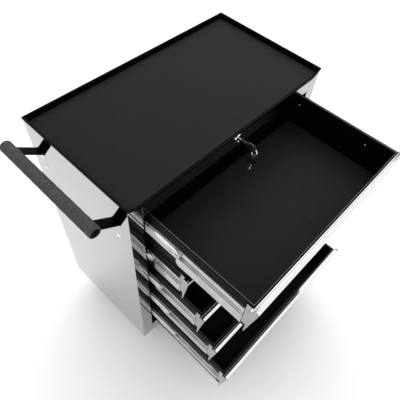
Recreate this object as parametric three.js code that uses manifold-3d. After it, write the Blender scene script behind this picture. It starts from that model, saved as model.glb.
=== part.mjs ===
// A steel rolling tool chest: a polished sheet-metal cabinet on four casters, with a
// black lined top tray, a padded push handle on the left end, a key lock in the front
// rail, and drawers on three-part ball slides. Millimetres, +Z up, the front faces -Y,
// the handle is on the -X end. The drawers stand part open, the top one fully out.
import * as THREE from "three";
import { mergeVertices } from "three/addons/utils/BufferGeometryUtils.js";
import Module from "manifold-3d";

const wasm = await Module();
wasm.setup();

// ---- driving dimensions ----------------------------------------------------------
// cabinet
const width = 616;
const depth = 330;
const bodyHeight = 668;
const sheet = 1.2;
const gap = 0.3;
const postWidth = 35;
const postReturn = 20;
const rearFlange = 16;
const sillHeight = 42;
const headerHeight = 38;
const railFlange = 14;
const stiffenerHeight = 22;
const stiffenerInset = 24;
// top tray
const rimHeight = 16;
const frontLip = 2.5;
const hemDrop = 4.5;
const cornerSlope = 28;
const matThickness = 3;
const matMargin = 1.5;
// drawers
const drawerCount = 5;
const topReveal = 3;
const sillReveal = 14;
const fingerGap = 13.5;
const bottomFrontExtra = 12;
const frontThrow = 17;
const lipDepth = 13;
const boxDrop = 2;
const frontOverlap = 7;
const bracketLength = 12;
const bracketDrop = 82;
const hemWidth = 4;
const hemHeight = 5;
const drawerSheet = 0.8;
const drawerRearSpace = 44;
const openShares = [1, 0.439, 0.631, 0.81, 0.9874];
// slides
const slideDepth = 12.7;
const slideHeight = 36;
const slideRearSpace = 46;
const slideCentreDrop = 35;
const travelReserve = 6.5;
const middleHeight = 24;
const middleStandOff = 2;
const middleSetback = 24;
const middleRearSpace = 20;
const endHoleDiameter = 6;
const endHoleInset = 8;
const innerHeight = 34;
const innerSetback = 13;
const innerPlateLength = 170;
const innerPlateDrop = 91;
const innerPlateCorner = 10;
const slideSheet = 1.2;
const cabinetFlangeShort = 6.9;
const middleFlangeShort = 2.3;
const innerFlangeShort = 7.2;
const uprightDepth = 22;
// push handle
const gripDiameter = 27;
const gripInset = 20;
const tubeDiameter = 20;
const handleReach = 57;
const handleDrop = 28;
const strapWidth = 25;
const strapThickness = 4;
const strapInset = 40;
const strapRootDrop = 74;
const strapLegLength = 62;
const screwHole = 3.2;
const screwDrops = [12, 48];
// lock
const barrelDiameter = 19;
const collarOverhang = 1.5;
const lockShare = 0.62;
const barrelLength = 24;
const plugDiameter = 12;
const camReach = 15;
const camThickness = 2.5;
const keyShank = 22;
// casters
const wheelDiameter = 76;
const casterHeadroom = 24;
const wheelWidth = 24;
const wheelBore = 10.5;
const axleDiameter = 10;
const plateLength = 66;
const plateWidth = 52;
const plateThickness = 3;
const plateInsetX = 22;
const plateInsetY = 14;
const stemDiameter = 12;
const swivelOffset = 22;
const forkSheet = 2.5;
const forkClearance = 2.5;
const brakePinDiameter = 5;
const brakePinClearance = 8.6;
const brakePinAngle = 54.6 * Math.PI / 180;

// ---- solids ----------------------------------------------------------------------
function solid(geometry) {
  const bare = geometry.index ? geometry.toNonIndexed() : geometry.clone();
  bare.deleteAttribute("normal");
  bare.deleteAttribute("uv");
  const merged = mergeVertices(bare, 1e-4);
  const vertProperties = new Float32Array(merged.attributes.position.array);
  const triVerts = new Uint32Array(merged.index.array);
  return new wasm.Manifold(new wasm.Mesh({ numProp: 3, vertProperties, triVerts }));
}

function geometryOf(manifold) {
  const mesh = manifold.getMesh();
  const geometry = new THREE.BufferGeometry();
  const positions = new THREE.BufferAttribute(mesh.vertProperties, 3);
  geometry.setAttribute("position", positions);
  geometry.setIndex(new THREE.BufferAttribute(mesh.triVerts, 1));
  const flat = geometry.toNonIndexed();
  flat.computeVertexNormals();
  return flat;
}

// A box given by its low and high corners.
function box(x0, x1, y0, y1, z0, z1) {
  const geometry = new THREE.BoxGeometry(x1 - x0, y1 - y0, z1 - z0);
  geometry.translate((x0 + x1) / 2, (y0 + y1) / 2, (z0 + z1) / 2);
  return solid(geometry);
}

function outline(points) {
  const shape = new THREE.Shape();
  shape.moveTo(points[0][0], points[0][1]);
  for (const [a, b] of points.slice(1)) shape.lineTo(a, b);
  shape.closePath();
  return shape;
}

const extrudeSettings = (length) => ({ depth: length, bevelEnabled: false, curveSegments: 12 });

// An outline in the YZ plane, drawn out along X.
function alongX(shape, x0, x1) {
  const geometry = new THREE.ExtrudeGeometry(shape, extrudeSettings(x1 - x0));
  geometry.applyMatrix4(new THREE.Matrix4().set(0, 0, 1, x0, 1, 0, 0, 0, 0, 1, 0, 0, 0, 0, 0, 1));
  return solid(geometry);
}

// An outline in the XZ plane, drawn out along Y.
function alongY(shape, y0, y1) {
  const geometry = new THREE.ExtrudeGeometry(shape, extrudeSettings(y1 - y0));
  geometry.applyMatrix4(new THREE.Matrix4().set(1, 0, 0, 0, 0, 0, -1, y1, 0, 1, 0, 0, 0, 0, 0, 1));
  return solid(geometry);
}

// An outline in the XY plane, drawn out along Z.
function alongZ(shape, z0, z1) {
  const geometry = new THREE.ExtrudeGeometry(shape, extrudeSettings(z1 - z0));
  geometry.translate(0, 0, z0);
  return solid(geometry);
}

// A round bar of radius r from one height to another, along x, y or z through a point.
function rod(axis, r, from, to, a, b, segments = 24) {
  const geometry = new THREE.CylinderGeometry(r, r, to - from, segments);
  const middle = (from + to) / 2;
  if (axis === "x") {
    geometry.rotateZ(Math.PI / 2);
    geometry.translate(middle, a, b);
  } else if (axis === "y") {
    geometry.translate(a, middle, b);
  } else {
    geometry.rotateX(Math.PI / 2);
    geometry.translate(a, b, middle);
  }
  return solid(geometry);
}

function join(parts) {
  return parts.reduce((whole, part) => whole.add(part));
}

const mirrorX = (manifold) => manifold.mirror([1, 0, 0]).translate([width, 0, 0]);

// ---- finishes --------------------------------------------------------------------
function finish(color, roughness, metalness) {
  return new THREE.MeshStandardMaterial({ color, roughness, metalness });
}

const polishedSteel = () => finish(0xc4c6c8, 0.12, 1);
const blackCoat = () => finish(0x121214, 0.45, 0.1);
const zincSteel = () => finish(0xb9bcbe, 0.35, 1);
const chrome = () => finish(0xd9dbdd, 0.08, 1);
const blackRubber = () => finish(0x2c2c2e, 0.9, 0);
const blackFoam = () => finish(0x2b2b2d, 0.95, 0);
const blackPlastic = () => finish(0x161618, 0.5, 0);
const treadRubber = () => finish(0x1c1c1e, 0.85, 0);

const chest = new THREE.Group();
chest.name = "rolling_tool_chest";

function place(name, manifold, material) {
  const mesh = new THREE.Mesh(geometryOf(manifold), material);
  mesh.name = name;
  chest.add(mesh);
  return mesh;
}

// ---- levels that the pieces share -------------------------------------------------
const base = wheelDiameter + casterHeadroom;
const top = base + bodyHeight;
const sillTop = base + sillHeight;
const skin = sheet + gap;
const trayFloor = top - rimHeight;
const trayUnder = trayFloor - sheet;
const lipTop = trayFloor + frontLip;
const headerTop = lipTop - skin;
const openTop = headerTop - headerHeight;
const drawerTop = openTop - topReveal;
const drawerSpan = drawerTop - sillTop - sillReveal - bottomFrontExtra;
const drawerPitch = (drawerSpan + fingerGap) / drawerCount;
const frontHeight = drawerPitch - fingerGap;
const postInner = postWidth;
const slideX = postInner + gap;
const boxX = slideX + slideDepth + gap;
const frontX = boxX - frontOverlap;

// ---- cabinet shell ----------------------------------------------------------------
// Everything below the rim's edge, lowered by drop. The edge is level round three sides.
// Along the front it slopes down from both corners to a low lip.
const rimWall = skin + sheet + gap + sheet;

function belowRim(drop, floorLevel) {
  const high = top - drop;
  const low = lipTop - drop;
  const dip = outline([
    [0, high],
    [cornerSlope, low],
    [width - cornerSlope, low],
    [width, high],
    [width, top + 10],
    [0, top + 10],
  ]);
  return box(0, width, 0, depth, floorLevel, high).subtract(alongY(dip, -1, rimWall));
}

function sidePanel() {
  const outer = skin;
  const inner = skin + sheet;
  const rear = depth - skin - skin;
  const folded = outline([
    [outer, outer],
    [postInner, outer],
    [postInner, outer + postReturn],
    [postInner - sheet, outer + postReturn],
    [postInner - sheet, inner],
    [inner, inner],
    [inner, rear - sheet],
    [outer + rearFlange, rear - sheet],
    [outer + rearFlange, rear],
    [outer, rear],
  ]);
  const panel = alongZ(folded, base + skin, top).intersect(belowRim(skin, base));
  return panel.subtract(box(inner, postInner + 5, inner, depth, trayUnder - gap, top + 10));
}

// Each end panel has a slot for each handle strap, only on the handle's end.
function strapSlots() {
  const slotZ = top - strapRootDrop;
  const half = strapWidth / 2 + gap;
  const cuts = [];
  for (const y of [strapInset, depth - strapInset]) {
    cuts.push(box(0, skin + sheet + 1, y - half, y + half, slotZ - 4, slotZ + 9));
    for (const z of screwHeights()) cuts.push(rod("x", screwHole, 0, skin + sheet + 1, y, z, 12));
  }
  return join(cuts);
}

function screwHeights() {
  const slotZ = top - strapRootDrop;
  return screwDrops.map((drop) => slotZ - drop);
}

place("side_panel_left", sidePanel().subtract(strapSlots()), polishedSteel());
place("side_panel_right", mirrorX(sidePanel()), polishedSteel());

const backPanel = box(
  skin, width - skin, depth - skin - sheet, depth - skin, base + skin, top - skin,
);
place("back_panel", backPanel, polishedSteel());

// The base carries the sill, a low stiffened rail under the bottom drawer.
function basePan() {
  const left = postInner + gap;
  const right = width - postInner - gap;
  const rear = depth - skin;
  const stiffener = depth - stiffenerInset;
  const section = outline([
    [skin, base],
    [rear, base],
    [rear, base + sheet],
    [stiffener + sheet, base + sheet],
    [stiffener + sheet, base + stiffenerHeight],
    [stiffener, base + stiffenerHeight],
    [stiffener, base + sheet],
    [skin + sheet, base + sheet],
    [skin + sheet, sillTop - sheet],
    [skin + railFlange, sillTop - sheet],
    [skin + railFlange, sillTop],
    [skin, sillTop],
  ]);
  const pan = alongX(section, skin, width - skin);
  const aboveFloor = [base + sheet, sillTop + 5];
  const notches = [
    box(skin - 1, left, 0, depth / 2, ...aboveFloor),
    box(right, width - skin + 1, 0, depth / 2, ...aboveFloor),
    box(skin - 1, left + slideDepth, depth / 2, depth, ...aboveFloor),
    box(right - slideDepth, width - skin + 1, depth / 2, depth, ...aboveFloor),
  ];
  return pan.subtract(join(notches));
}

place("base_pan", basePan(), polishedSteel());

// Front rail under the tray, with the round hole for the lock barrel.
const lockX = width / 2;
const lockZ = openTop + headerHeight * lockShare;

function headerRail() {
  const left = postInner + gap;
  const right = width - postInner - gap;
  const back = skin + railFlange;
  const under = trayUnder - gap;
  const section = outline([
    [skin, openTop],
    [back, openTop],
    [back, openTop + sheet],
    [skin + sheet, openTop + sheet],
    [skin + sheet, under - sheet],
    [back, under - sheet],
    [back, under],
    [skin + sheet, under],
    [skin + sheet, headerTop],
    [skin, headerTop],
  ]);
  const rail = alongX(section, left, right);
  return rail.subtract(rod("y", barrelDiameter / 2 + gap, 0, 10, lockX, lockZ));
}

place("header_rail", headerRail(), polishedSteel());

// ---- top tray and mat -------------------------------------------------------------
// A lined pan inside the rim, and a hem that folds over the shell's edge and down outside it.
function topTray() {
  const wall = rimWall - sheet;
  const ring = (inset, z0, z1) => box(inset, width - inset, inset, depth - inset, z0, z1);
  const folded = belowRim(0, base).subtract(belowRim(hemDrop, base - 1));
  const hem = folded.subtract(ring(wall, base - 1, trayUnder));
  const pan = belowRim(0, trayUnder).intersect(ring(wall, base, top));
  const slot = ring(sheet, base, top).intersect(belowRim(sheet, base - 1));
  const slotRing = slot.subtract(ring(wall, base - 1, top));
  return hem.add(pan).subtract(ring(rimWall, trayFloor, top + 1)).subtract(slotRing);
}

place("top_tray", topTray(), blackCoat());

const matIn = rimWall + matMargin;
place(
  "top_mat",
  box(matIn, width - matIn, matIn, depth - matIn, trayFloor + gap, trayFloor + gap + matThickness),
  blackRubber(),
);

// ---- slides -----------------------------------------------------------------------
// A channel open towards +X: its web at x, its two flanges reaching to x + reach.
function channelRight(x, reach, y0, y1, z, height) {
  const high = z + height / 2;
  const low = z - height / 2;
  const section = outline([
    [x, low],
    [x + reach, low],
    [x + reach, low + slideSheet],
    [x + slideSheet, low + slideSheet],
    [x + slideSheet, high - slideSheet],
    [x + reach, high - slideSheet],
    [x + reach, high],
    [x, high],
  ]);
  return alongY(section, y0, y1);
}

const closedFace = skin;
const frontFoot = closedFace + frontThrow - sheet - gap;
const innerStart = frontFoot + innerSetback;
const slideStart = closedFace + frontThrow + 2;
const slideLength = depth - slideRearSpace;
const fullTravel = slideLength - travelReserve;
const middleLength = slideLength - middleSetback - middleRearSpace;
const middleX = slideX + middleStandOff;
const innerX = slideX + slideDepth;
// How far each member's flanges reach into the space between cabinet and drawer.
const cabinetReach = slideDepth - cabinetFlangeShort;
const middleReach = slideDepth - middleStandOff - middleFlangeShort;
const innerReach = slideDepth - innerFlangeShort;
const slideCentre = (index) => drawerTop - index * drawerPitch - slideCentreDrop;

// Two uprights behind each post, with one cabinet member fixed across them per drawer.
function slideRack() {
  const low = base + skin + gap;
  const high = trayUnder - gap - sheet - gap;
  const wall = skin + sheet + gap + strapThickness + gap;
  const rearUpright = depth - skin - skin - sheet - gap - uprightDepth - 8;
  const frontUpright = skin + postReturn + 2;
  const uprights = [frontUpright, rearUpright].map((y) => {
    const far = y + uprightDepth;
    const section = outline([
      [wall, y],
      [slideX, y],
      [slideX, far],
      [wall, far],
      [wall, far - slideSheet],
      [slideX - slideSheet, far - slideSheet],
      [slideX - slideSheet, y + slideSheet],
      [wall, y + slideSheet],
    ]);
    return alongZ(section, low, high);
  });
  const members = [];
  for (let i = 0; i < drawerCount; i += 1) {
    const z = slideCentre(i);
    const rear = slideStart + slideLength;
    members.push(channelRight(slideX, cabinetReach, slideStart, rear, z, slideHeight));
  }
  return join([...uprights, ...members]);
}

place("slide_rack_left", slideRack(), zincSteel());
place("slide_rack_right", mirrorX(slideRack()), zincSteel());

// The strip that runs between the other two: a channel with rounded ends and a hole.
function middleMember(z) {
  const x = middleX;
  const y0 = slideStart + middleSetback;
  const y1 = y0 + middleLength;
  const body = channelRight(x, middleReach, y0, y1, z, middleHeight);
  const r = middleHeight / 2;
  const shape = new THREE.Shape();
  shape.absarc(y0 + r, z, r, Math.PI / 2, (3 * Math.PI) / 2, false);
  shape.lineTo(y1, z - r);
  shape.lineTo(y1, z + r);
  shape.closePath();
  const rounded = alongX(shape, x - 1, x + slideDepth);
  const hole = rod("x", endHoleDiameter / 2, x - 1, x + slideDepth, y0 + endHoleInset, z, 12);
  return body.intersect(rounded).subtract(hole);
}

// The drawer's own strip: a channel open outwards, which faces the cabinet's across the
// middle strip, with a deep plate on its front half that is screwed to the drawer's side.
function innerMember(z) {
  const x = innerX;
  const half = innerHeight / 2;
  const y0 = innerStart;
  const y1 = y0 + slideLength;
  const plateLow = z + slideCentreDrop - innerPlateDrop;
  const plate = new THREE.Shape();
  const corner = innerPlateCorner;
  plate.moveTo(y0, z);
  plate.lineTo(y0, plateLow);
  plate.lineTo(y0 + innerPlateLength - corner, plateLow);
  plate.absarc(y0 + innerPlateLength - corner, plateLow + corner, corner, -Math.PI / 2, 0, false);
  plate.lineTo(y0 + innerPlateLength, z);
  plate.closePath();
  const section = outline([
    [x, z - half],
    [x, z + half],
    [x - innerReach, z + half],
    [x - innerReach, z + half - slideSheet],
    [x - slideSheet, z + half - slideSheet],
    [x - slideSheet, z - half + slideSheet],
    [x - innerReach, z - half + slideSheet],
    [x - innerReach, z - half],
  ]);
  return alongY(section, y0, y1).add(alongX(plate, x - slideSheet, x));
}

// ---- drawers ----------------------------------------------------------------------
const heightOfFront = (index) => frontHeight + (index === drawerCount - 1 ? bottomFrontExtra : 0);

// A folded tray with a flat hem turned inwards along the top of its walls.
function drawerBox(z, height) {
  const t = drawerSheet;
  const x0 = boxX;
  const x1 = width - boxX;
  const y0 = closedFace + lipDepth + gap;
  const inner = closedFace + frontThrow;
  const y1 = y0 + depth - drawerRearSpace;
  const zTop = z - boxDrop;
  const zLow = z - height + boxDrop;
  const outer = box(x0, x1, y0, y1, zLow, zTop);
  const space = box(x0 + t, x1 - t, inner, y1 - t, zLow + t, zTop + 1);
  const behindFront = box(x0 - 1, x1 + 1, y0 - 1, inner - t, zLow - 1, zTop - t);
  const hem = box(x0, x1, inner, y1, zTop - hemHeight, zTop);
  const inLip = hemWidth;
  const open = box(x0 + inLip, x1 - inLip, y0, y1 - inLip, zLow, zTop + 1);
  const under = box(x0 + t, x1 - t, y0, y1 - t, zTop - hemHeight - 1, zTop - t);
  const lip = box(x0 + inLip - t, x1 - inLip + t, inner, y1 - inLip + t, zTop - hemHeight, zTop);
  const rolled = hem.subtract(open).subtract(under.subtract(lip));
  return outer.subtract(space).add(rolled).subtract(behindFront);
}

// The polished front: a sheet that leans back from its pull lip to the foot, closed by
// a triangular cheek at each end. A bracket at each end runs back along the drawer's side.
function drawerFront(z, height) {
  const x0 = frontX;
  const x1 = width - frontX;
  const y0 = closedFace;
  const foot = frontFoot;
  const low = z - height;
  const outer = [
    [y0, z - 3],
    [y0 + 3, z],
    [y0 + lipDepth, z],
    [y0 + lipDepth, z - boxDrop - sheet - gap],
    [foot, z - boxDrop - sheet - gap],
    [foot, low],
    [foot - sheet, low],
  ];
  const full = alongX(outline(outer), x0, x1);
  const hollow = outline([
    [y0 + 1.6, z - 4],
    [y0 + 4, z - sheet],
    [y0 + lipDepth - sheet, z - sheet],
    [y0 + lipDepth - sheet, z - boxDrop - sheet - gap - sheet],
    [foot + 1, z - boxDrop - sheet - gap - sheet],
    [foot + 1, low - 1],
    [foot + 0.3, low - 1],
  ]);
  const bracketX = boxX - gap - sheet;
  const bracket = box(bracketX, boxX - gap, y0 + lipDepth, foot + bracketLength,
    z - bracketDrop, z - boxDrop - sheet - gap);
  return full.subtract(alongX(hollow, x0 + sheet, x1 - sheet)).add(bracket).add(mirrorX(bracket));
}

for (let i = 0; i < drawerCount; i += 1) {
  const number = i + 1;
  const z = drawerTop - i * drawerPitch;
  const height = heightOfFront(i);
  const out = openShares[i] * fullTravel;
  const parts = [
    place(`drawer_box_${number}`, drawerBox(z, height), blackCoat()),
    place(`drawer_front_${number}`, drawerFront(z, height), polishedSteel()),
    place(`inner_slide_left_${number}`, innerMember(slideCentre(i)), zincSteel()),
    place(`inner_slide_right_${number}`, mirrorX(innerMember(slideCentre(i))), zincSteel()),
  ];
  const middles = [
    place(`middle_slide_left_${number}`, middleMember(slideCentre(i)), zincSteel()),
    place(`middle_slide_right_${number}`, mirrorX(middleMember(slideCentre(i))), zincSteel()),
  ];
  for (const part of parts) part.position.y = -out;
  for (const part of middles) part.position.y = -out / 2;
}

// ---- push handle ------------------------------------------------------------------
const handleX = -handleReach;
const handleZ = top - handleDrop;

// A flat strap: a leg inside the end panel, out through its slot, and up to the tube.
function handleStrap(y) {
  const rootZ = top - strapRootDrop;
  const legX = skin + sheet + gap;
  const t = strapThickness;
  const startX = legX + t / 2;
  const rise = handleZ - rootZ;
  const run = startX - handleX;
  const length = Math.hypot(rise, run);
  const ux = -run / length;
  const uz = rise / length;
  const half = t / 2;
  const arm = outline([
    [startX + half * uz, rootZ - half * ux],
    [handleX + half * uz, handleZ - half * ux],
    [handleX - half * uz, handleZ + half * ux],
    [startX - half * uz, rootZ + half * ux],
  ]);
  const edges = [y - strapWidth / 2, y + strapWidth / 2];
  const leg = box(legX, legX + t, ...edges, rootZ - strapLegLength, rootZ - half * ux);
  const strap = leg.add(alongY(arm, ...edges));
  const holes = screwHeights().map((z) => rod("x", screwHole, legX - 2, legX + t + 2, y, z, 12));
  return strap.subtract(rod("y", gripDiameter / 2 + gap, y - strapWidth, y + strapWidth, handleX, handleZ))
    .subtract(join(holes));
}

place("handle_strap_front", handleStrap(strapInset), blackCoat());
place("handle_strap_rear", handleStrap(depth - strapInset), blackCoat());

const gripEnd = depth - gripInset;
const gripLength = gripEnd - gripInset;
const tubeSolid = rod("y", tubeDiameter / 2, gripInset + 2, gripEnd - 2, handleX, handleZ, 32);
place("handle_tube", tubeSolid, blackCoat());

function grip() {
  const r = gripDiameter / 2;
  const bore = tubeDiameter / 2 + gap;
  const profile = [
    [bore, 0],
    [r - 3, 0],
    [r - 0.9, 0.9],
    [r, 3],
    [r, gripLength - 3],
    [r - 0.9, gripLength - 0.9],
    [r - 3, gripLength],
    [bore, gripLength],
    [bore, 0],
  ].map(([radius, along]) => new THREE.Vector2(radius, along));
  const geometry = new THREE.LatheGeometry(profile, 40);
  geometry.translate(handleX, gripInset, handleZ);
  return solid(geometry);
}

place("handle_grip", grip(), blackFoam());

// ---- lock and keys ----------------------------------------------------------------
const barrelFace = skin - 4;

function lockBarrel() {
  const turned = (r, from, to) => rod("y", r, from, to, lockX, lockZ, 32);
  const tail = barrelFace + barrelLength;
  const shell = turned(barrelDiameter / 2, barrelFace, tail);
  const collar = turned(barrelDiameter / 2 + collarOverhang, barrelFace, skin - gap);
  return shell.add(collar).subtract(turned(plugDiameter / 2 + gap, barrelFace - 1, tail + 1));
}

place("lock_barrel", lockBarrel(), chrome());

const plugFace = barrelFace + 0.6;
const plugEnd = barrelFace + barrelLength + 6;
const keyTip = plugFace - keyShank;
const headLength = 24;
const headWidth = 22;
const headThickness = 5;

const plug = rod("y", plugDiameter / 2, plugFace, plugEnd, lockX, lockZ, 32);
place("lock_plug", plug, chrome());

// The cam on the plug's tail turns behind the rail.
const camY = plugEnd + gap;
const cam = box(lockX - 7, lockX + 7, camY, camY + camThickness, lockZ - camReach, lockZ + 7);
place("lock_cam", cam, zincSteel());

// The key in the lock, its blade flat in a vertical plane and its head a rounded block
// with an eye for the ring.
function key() {
  const blade = box(lockX - 1.1, lockX + 1.1, keyTip - 1, plugFace - gap, lockZ - 3.6, lockZ + 3.6);
  const r = headWidth / 2;
  const shape = new THREE.Shape();
  shape.moveTo(keyTip, lockZ - r * 0.55);
  shape.lineTo(keyTip, lockZ + r * 0.55);
  shape.lineTo(keyTip - 6, lockZ + r);
  shape.lineTo(keyTip - headLength + 6, lockZ + r);
  shape.lineTo(keyTip - headLength, lockZ + r * 0.55);
  shape.lineTo(keyTip - headLength, lockZ - r * 0.55);
  shape.lineTo(keyTip - headLength + 6, lockZ - r);
  shape.lineTo(keyTip - 6, lockZ - r);
  shape.closePath();
  const head = alongX(shape, lockX - headThickness / 2, lockX + headThickness / 2);
  const eye = rod("x", 3.5, lockX - 8, lockX + 8, keyTip - headLength + 7, lockZ, 16);
  return blade.add(head).subtract(eye);
}

place("key_in_lock", key(), blackPlastic());

// ---- casters ----------------------------------------------------------------------
// Two braked swivel casters under the handle end, two fixed casters under the other.
function wheel(x, y) {
  const r = wheelDiameter / 2;
  const w = wheelWidth / 2;
  const bore = wheelBore / 2;
  const hub = bore + 7;
  const profile = [
    [bore, -w],
    [hub, -w],
    [hub, -w + 3],
    [r - 11, -w + 4],
    [r - 9, -w],
    [r - 3, -w],
    [r, -w + 4],
    [r, w - 4],
    [r - 3, w],
    [r - 9, w],
    [r - 11, w - 4],
    [hub, w - 3],
    [hub, w],
    [bore, w],
    [bore, -w],
  ].map(([radius, along]) => new THREE.Vector2(radius, along));
  const sides = 28;
  const geometry = new THREE.LatheGeometry(profile, sides, Math.PI / sides);
  geometry.translate(x, y, r);
  return solid(geometry);
}

const cheekIn = wheelWidth / 2 + forkClearance;
const cheekOut = cheekIn + forkSheet;
const axleZ = wheelDiameter / 2;
const crownHalf = 24;
const axleEye = 11;
const brakePinReach = wheelDiameter / 2 + brakePinClearance;
const brakePinX = brakePinReach * Math.cos(brakePinAngle);
const brakePinZ = brakePinReach * Math.sin(brakePinAngle);

// Two cheeks hang from a crown and carry the axle; a swivel fork's cheeks also reach
// back over the tyre to hold the brake's pin.
function fork(x, y, pivotX, crownTop, horn) {
  const cheek = new THREE.Shape();
  cheek.moveTo(pivotX - crownHalf, crownTop);
  cheek.lineTo(x - axleEye, axleZ);
  cheek.absarc(x, axleZ, axleEye, Math.PI, 2 * Math.PI, false);
  if (horn) {
    cheek.lineTo(x + brakePinX - 6, axleZ + brakePinZ - 7);
    cheek.lineTo(x + brakePinX + 6, axleZ + brakePinZ - 5);
    cheek.lineTo(x + brakePinX + 6, axleZ + brakePinZ + 5);
  }
  cheek.lineTo(pivotX + crownHalf, crownTop);
  cheek.closePath();
  const pieces = [
    alongY(cheek, y - cheekOut, y - cheekIn),
    alongY(cheek, y + cheekIn, y + cheekOut),
    box(pivotX - crownHalf, pivotX + crownHalf, y - cheekOut, y + cheekOut,
      crownTop - forkSheet, crownTop),
    rod("y", axleDiameter / 2, y - cheekOut - 3, y + cheekOut + 3, x, axleZ, 20),
  ];
  if (horn) {
    const [px, pz] = [x + brakePinX, axleZ + brakePinZ];
    pieces.push(rod("y", brakePinDiameter / 2, y - cheekOut - 1, y + cheekOut + 1, px, pz, 16));
  }
  return join(pieces);
}

const plateTop = base - gap;
const plateLow = plateTop - plateThickness;

function topPlate(x, y) {
  const halfX = plateLength / 2;
  const halfY = plateWidth / 2;
  const bolts = [];
  for (const sx of [-1, 1]) {
    for (const sy of [-1, 1]) {
      const bx = x + sx * (halfX - 8);
      const by = y + sy * (halfY - 8);
      bolts.push(rod("z", 4.2, plateLow - 1, plateTop + 1, bx, by, 12));
    }
  }
  return box(x - halfX, x + halfX, y - halfY, y + halfY, plateLow, plateTop).subtract(join(bolts));
}

const casterY = plateInsetY + plateWidth / 2;
const casterYs = [["front", casterY], ["rear", depth - casterY]];
const swivelX = plateInsetX + plateLength / 2;
const fixedX = width - swivelX;
const raceHeight = 7;
const raceRadius = 17;
const crownZ = plateLow - raceHeight - gap;

// The brake is a bent lever on a pin behind the tyre: its shoe bears on the tread and
// its tab is pressed or lifted by foot.
function brakePedal(x, y) {
  const [px, pz] = [x + brakePinX, axleZ + brakePinZ];
  const half = cheekIn - 0.8;
  const lever = outline([
    [px - 5, pz + 5],
    [px + 5, pz + 5],
    [px + 34, pz - 4],
    [px + 34, pz - 7],
    [px + 11, pz - 3],
    [px + 13, pz - 17],
    [px + 9, pz - 19],
    [px + 2, pz - 5],
    [px - 5, pz - 5],
  ]);
  return alongY(lever, y - half, y + half)
    .subtract(rod("y", brakePinDiameter / 2 + gap, y - 40, y + 40, px, pz, 16));
}

for (const [end, y] of casterYs) {
  const wheelX = swivelX + swivelOffset;
  const race = rod("z", raceRadius, plateLow - raceHeight, plateLow + 1, swivelX, y, 28);
  const plate = topPlate(swivelX, y).add(race)
    .subtract(rod("z", stemDiameter / 2 + gap, plateLow - 40, plateTop + 1, swivelX, y, 20));
  const stem = rod("z", stemDiameter / 2, crownZ - 1, plateTop - 1, swivelX, y, 20);
  place(`swivel_plate_${end}`, plate, zincSteel());
  place(`swivel_fork_${end}`, fork(wheelX, y, swivelX, crownZ, true).add(stem), zincSteel());
  place(`swivel_wheel_${end}`, wheel(wheelX, y), treadRubber());
  place(`brake_pedal_${end}`, brakePedal(wheelX, y), blackPlastic());
  const legs = fork(fixedX, y, fixedX, plateLow + 1, false);
  place(`fixed_bracket_${end}`, topPlate(fixedX, y).add(legs), zincSteel());
  place(`fixed_wheel_${end}`, wheel(fixedX, y), treadRubber());
}

// ---- the part's frame: on the floor, under the middle of everything ---------------
const extent = new THREE.Box3().setFromObject(chest);
chest.position.x = -(extent.min.x + extent.max.x) / 2;
chest.position.y = -(extent.min.y + extent.max.y) / 2;
chest.position.z = -extent.min.z;

const part = new THREE.Group();
part.add(chest);

export default part;
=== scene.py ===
# A steel rolling tool chest with five drawers on ball slides, a lined tray on top, a
# push handle on its left end, a lock with two keys, and four casters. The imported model
# gives every place and size; this file adds the finishes, fasteners and small parts.
import math

import bmesh
import bpy
from mathutils import Matrix, Vector


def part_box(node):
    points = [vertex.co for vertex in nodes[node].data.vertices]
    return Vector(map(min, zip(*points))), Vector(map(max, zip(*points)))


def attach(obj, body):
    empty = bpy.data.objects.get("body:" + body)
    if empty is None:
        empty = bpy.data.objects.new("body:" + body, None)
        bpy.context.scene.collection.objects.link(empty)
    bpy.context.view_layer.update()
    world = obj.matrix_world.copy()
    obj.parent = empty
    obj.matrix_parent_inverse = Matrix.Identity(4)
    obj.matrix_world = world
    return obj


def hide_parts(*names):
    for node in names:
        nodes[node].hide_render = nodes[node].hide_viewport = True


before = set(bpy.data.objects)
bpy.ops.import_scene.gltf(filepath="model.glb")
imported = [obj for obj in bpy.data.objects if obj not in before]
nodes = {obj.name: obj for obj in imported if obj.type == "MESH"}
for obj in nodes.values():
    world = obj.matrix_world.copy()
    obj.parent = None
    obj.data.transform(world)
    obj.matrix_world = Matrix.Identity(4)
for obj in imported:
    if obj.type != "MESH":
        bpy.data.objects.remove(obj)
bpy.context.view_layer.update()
scene = bpy.context.scene

# ---- camera -----------------------------------------------------------------------
# It looks down on the chest from beyond the handle's front corner, a little tilted.
eye = Vector((-0.50691, -0.37674, 1.37130))
yaw = math.radians(51.11)
pitch = math.radians(53.54)
roll = math.radians(5.88)
ahead = Vector((math.sin(yaw) * math.cos(pitch), math.cos(yaw) * math.cos(pitch), -math.sin(pitch)))
level = Vector((math.cos(yaw), -math.sin(yaw), 0))
above = level.cross(ahead)
across = math.cos(roll) * level + math.sin(roll) * above
upward = math.cos(roll) * above - math.sin(roll) * level

lens = bpy.data.cameras.new("camera")
lens.lens = 37.28
lens.sensor_width = 36
camera = bpy.data.objects.new("camera", lens)
camera.matrix_world = Matrix.Translation(eye) @ Matrix((across, upward, -ahead)).transposed().to_4x4()
scene.collection.objects.link(camera)
scene.camera = camera

# ---- studio -----------------------------------------------------------------------
# A white room: an even sky, a pale floor, and a broad soft light over the back of the
# chest, which the polished lips and the slides mirror. A low one stands at the left.
sky = bpy.data.worlds.new("studio_sky")
sky.use_nodes = True
sky.node_tree.nodes["Background"].inputs["Color"].default_value = (1, 1, 1, 1)
sky.node_tree.nodes["Background"].inputs["Strength"].default_value = 1.0
scene.world = sky
scene.view_settings.view_transform = "Standard"

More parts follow.
